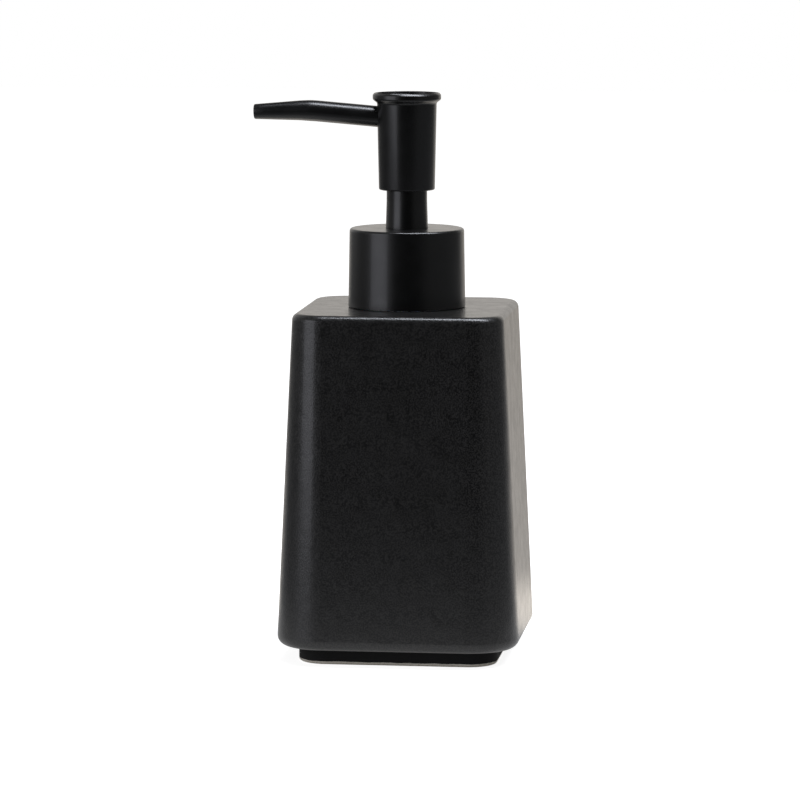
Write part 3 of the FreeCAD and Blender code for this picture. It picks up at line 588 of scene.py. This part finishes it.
studio = {
    "floorFront": 0.46,  # the sweep ends just below the view, so the front stays dark in the glaze
    "floorBack": 3.0,
    "floorSide": 1.6,
    "floor": "#d9d8d6",
    "floorGlow": 0.87,  # what the lit paper adds where the camera sees it
    "floorInGloss": "#6d6d6d",  # the same paper in a reflection, away from the lamps' pool
    "poolGlow": 0.5,  # the lit pool round the object, as a reflection shows it
    "poolEdge": (0.06, 0.20),
    "poolShade": (0.90, 0.99),  # the object's shade falls straight behind it
    "poolInShade": 0.12,
    "backNear": 1.6,  # the lit paper close behind, and farther back
    "backGlow": 0.66,
    "backReach": (0.10, 0.17),
    "backWedge": (0.66, 0.98),  # how far round the lit back comes, as a cosine from straight behind
    "nearWedge": (0.30, 0.85),  # the same on the floor close behind
    "nearReach": (0.3, 0.9),
    "backWall": 0.87,  # how bright each side of the room is in a reflection
    "rightWall": 0.14,
    "rightEdge": (0.45, 0.85),
    "leftWall": 0.21,
    "leftEdge": (-0.25, -0.6),
    "leftBack": 0.55,  # it brightens towards the back corner
    "leftCorner": (0.1, 0.8),
    "frontWall": 0.02,
    "ambient": 0.22,
    "wallColour": "#fff9f1",
    "glowColour": "#fff6ea",
}
white = (1.0, 1.0, 1.0, 1.0)


def makeFloor():
    # a pale paper sweep; what a reflection sees of it is set apart from what the camera sees
    shape = bmesh.new()
    bmesh.ops.create_grid(shape, x_segments=1, y_segments=1, size=1)
    front, back = studio["floorFront"], studio["floorBack"]
    bmesh.ops.scale(shape, vec=(studio["floorSide"], (back + front) / 2, 1), verts=shape.verts)
    bmesh.ops.translate(shape, vec=(0, (back - front) / 2, 0), verts=shape.verts)
    mesh = bpy.data.meshes.new("floor")
    shape.to_mesh(mesh)
    shape.free()
    floor = bpy.data.objects.new("floor", mesh)
    scene.collection.objects.link(floor)

    made, tree = newMaterial("pale paper sweep")
    path = addNode(tree, "ShaderNodeLightPath").outputs
    mirrored = addNode(
        tree, "ShaderNodeMath",
        {0: path["Is Glossy Ray"], 1: path["Is Transmission Ray"]},
        operation="MAXIMUM",
    ).outputs[0]
    colour = addNode(
        tree, "ShaderNodeMix",
        {"Factor": mirrored, 6: hexToLinear(studio["floor"]), 7: hexToLinear(studio["floorInGloss"])},
        data_type="RGBA",
    ).outputs[2]
    paper = addNode(tree, "ShaderNodeBsdfDiffuse", {"Color": colour}).outputs[0]

    where = addNode(tree, "ShaderNodeTexCoord").outputs["Object"]
    reach = addNode(tree, "ShaderNodeVectorMath", {0: where}, operation="LENGTH").outputs["Value"]
    along = addNode(tree, "ShaderNodeSeparateXYZ", {"Vector": where}).outputs["Y"]
    bearing = addNode(tree, "ShaderNodeMath", {0: along, 1: reach}, operation="DIVIDE").outputs[0]

    # the lit paper behind: a wide wedge close by, a narrow one farther back
    nearby = addNode(
        tree, "ShaderNodeMapRange",
        {
            "Value": reach, "From Min": studio["nearReach"][0], "From Max": studio["nearReach"][1],
            "To Min": 1.0, "To Max": 0.0,
        },
        **smooth,
    ).outputs[0]
    wide = addNode(
        tree, "ShaderNodeMapRange",
        {"Value": bearing, "From Min": studio["nearWedge"][0], "From Max": studio["nearWedge"][1]},
        **smooth,
    ).outputs[0]
    narrow = addNode(
        tree, "ShaderNodeMapRange",
        {"Value": bearing, "From Min": studio["backWedge"][0], "From Max": studio["backWedge"][1]},
        **smooth,
    ).outputs[0]
    beside = addNode(tree, "ShaderNodeMath", {0: nearby, 1: wide}, operation="MULTIPLY").outputs[0]
    wedge = addNode(tree, "ShaderNodeMath", {0: beside, 1: narrow}, operation="MAXIMUM").outputs[0]
    glowBack = addNode(
        tree, "ShaderNodeMapRange",
        {
            "Value": reach, "From Min": studio["backReach"][0], "From Max": studio["backReach"][1],
            "To Min": studio["backNear"], "To Max": studio["backGlow"],
        },
        **smooth,
    ).outputs[0]
    litBack = addNode(tree, "ShaderNodeMath", {0: wedge, 1: glowBack}, operation="MULTIPLY").outputs[0]

    # the pool round the object, shaded straight behind it
    shade = addNode(
        tree, "ShaderNodeMapRange",
        {
            "Value": bearing, "From Min": studio["poolShade"][0], "From Max": studio["poolShade"][1],
            "To Min": 1.0, "To Max": studio["poolInShade"],
        },
        **smooth,
    ).outputs[0]
    glowPool = addNode(
        tree, "ShaderNodeMapRange",
        {
            "Value": reach, "From Min": studio["poolEdge"][0], "From Max": studio["poolEdge"][1],
            "To Min": studio["poolGlow"], "To Max": 0.0,
        },
        **smooth,
    ).outputs[0]
    pool = addNode(tree, "ShaderNodeMath", {0: shade, 1: glowPool}, operation="MULTIPLY").outputs[0]

    lit = addNode(tree, "ShaderNodeMath", {0: litBack, 1: pool}, operation="MAXIMUM").outputs[0]
    gloss = addNode(tree, "ShaderNodeMath", {0: mirrored, 1: lit}, operation="MULTIPLY").outputs[0]
    seen = addNode(
        tree, "ShaderNodeMath", {0: path["Is Camera Ray"], 1: studio["floorGlow"], 2: gloss},
        operation="MULTIPLY_ADD",
    ).outputs[0]
    warm = addNode(tree, "ShaderNodeMath", {0: mirrored, 1: wedge}, operation="MULTIPLY").outputs[0]
    tint = addNode(
        tree, "ShaderNodeMix",
        {"Factor": warm, 6: white, 7: hexToLinear(studio["glowColour"])},
        data_type="RGBA",
    ).outputs[2]
    glow = addNode(tree, "ShaderNodeEmission", {"Strength": seen, "Color": tint}).outputs[0]
    both = addNode(tree, "ShaderNodeAddShader", {0: paper, 1: glow}).outputs[0]
    addNode(tree, "ShaderNodeOutputMaterial", {"Surface": both})
    mesh.materials.append(made)


def makeWorld():
    # white to the camera; a room with a bright back and dim sides to a reflection; plain ambient for the rest
    world = bpy.data.worlds.new("studio")
    scene.world = world
    world.use_nodes = True
    tree = world.node_tree
    tree.nodes.clear()
    way = addNode(tree, "ShaderNodeTexCoord").outputs["Generated"]
    parts = addNode(tree, "ShaderNodeSeparateXYZ", {"Vector": way}).outputs
    behind = addNode(
        tree, "ShaderNodeMapRange",
        {
            "Value": parts["Y"], "From Min": studio["backWedge"][0], "From Max": studio["backWedge"][1],
            "To Min": 0.0, "To Max": studio["backWall"],
        },
        **smooth,
    ).outputs[0]
    right = addNode(
        tree, "ShaderNodeMapRange",
        {
            "Value": parts["X"], "From Min": studio["rightEdge"][0], "From Max": studio["rightEdge"][1],
            "To Min": studio["frontWall"], "To Max": studio["rightWall"],
        },
        **smooth,
    ).outputs[0]
    corner = addNode(
        tree, "ShaderNodeMapRange",
        {
            "Value": parts["Y"], "From Min": studio["leftCorner"][0], "From Max": studio["leftCorner"][1],
            "To Min": studio["leftWall"], "To Max": studio["leftBack"],
        },
        **smooth,
    ).outputs[0]
    leftSide = addNode(
        tree, "ShaderNodeMapRange",
        {"Value": parts["X"], "From Min": studio["leftEdge"][0], "From Max": studio["leftEdge"][1]},
        **smooth,
    ).outputs[0]
    left = addNode(tree, "ShaderNodeMath", {0: leftSide, 1: corner}, operation="MULTIPLY").outputs[0]
    sides = addNode(tree, "ShaderNodeMath", {0: left, 1: right}, operation="MAXIMUM").outputs[0]
    walls = addNode(tree, "ShaderNodeMath", {0: behind, 1: sides}, operation="MAXIMUM").outputs[0]

    path = addNode(tree, "ShaderNodeLightPath").outputs
    onCamera = path["Is Camera Ray"]
    mirrored = addNode(
        tree, "ShaderNodeMath",
        {0: path["Is Glossy Ray"], 1: path["Is Transmission Ray"]},
        operation="MAXIMUM",
    ).outputs[0]
    seen = addNode(
        tree, "ShaderNodeMix", {"Factor": onCamera, 2: walls, 3: 1.0}, data_type="FLOAT"
    ).outputs[0]
    direct = addNode(tree, "ShaderNodeMath", {0: onCamera, 1: mirrored}, operation="MAXIMUM").outputs[0]
    strength = addNode(
        tree, "ShaderNodeMix", {"Factor": direct, 2: studio["ambient"], 3: seen}, data_type="FLOAT"
    ).outputs[0]
    warm = addNode(tree, "ShaderNodeMath", {0: mirrored, 1: behind}, operation="MULTIPLY").outputs[0]
    tint = addNode(
        tree, "ShaderNodeMix",
        {"Factor": warm, 6: white, 7: hexToLinear(studio["wallColour"])},
        data_type="RGBA",
    ).outputs[2]
    shader = addNode(tree, "ShaderNodeBackground", {"Strength": strength, "Color": tint}).outputs[0]
    addNode(tree, "ShaderNodeOutputWorld", {"Surface": shader})


lamps = {
    # name: place, what it points at, size, radiance, colour
    "left softbox": ((-0.96, -0.79, 0.30), (0, 0, 0.10), (0.84, 1.0), 1.52, "#f4f5ff"),
    "overhead softbox": ((0.37, -0.07, 1.10), (0.37, -0.08, 0.10), (1.03, 0.30), 15.0, "#f2f6ff"),
}


def makeLamps():
    for name, (place, target, (width, height), radiance, colour) in lamps.items():
        lamp = bpy.data.lights.new(name, "AREA")
        lamp.shape = "RECTANGLE"
        lamp.size, lamp.size_y = width, height
        lamp.energy = radiance * math.pi * width * height  # watts that give this radiance
        lamp.color = hexToLinear(colour)[:3]
        holder = bpy.data.objects.new(name, lamp)
        scene.collection.objects.link(holder)
        holder.location = place
        holder.rotation_euler = (Vector(target) - Vector(place)).to_track_quat("-Z", "Y").to_euler()


camera = {
    "place": (154.5 * mm, -1258.7 * mm, 232.0 * mm),
    "turn": (90 - 7.13, 0.0, 7.0),  # degrees
    "lens": 197.5,
    "sensor": 36,
    "shift": -0.0084,
    "nearest": 0.05,
}


def makeCamera():
    eye = bpy.data.cameras.new("camera")
    eye.lens, eye.sensor_width, eye.shift_x = camera["lens"], camera["sensor"], camera["shift"]
    eye.clip_start = camera["nearest"]
    holder = bpy.data.objects.new("camera", eye)
    scene.collection.objects.link(holder)
    holder.location = camera["place"]
    holder.rotation_euler = [math.radians(a) for a in camera["turn"]]
    scene.camera = holder


makeFloor()
makeWorld()
makeLamps()
makeCamera()
scene.view_settings.view_transform = "Standard"
print("studio made")

bpy.context.view_layer.update()
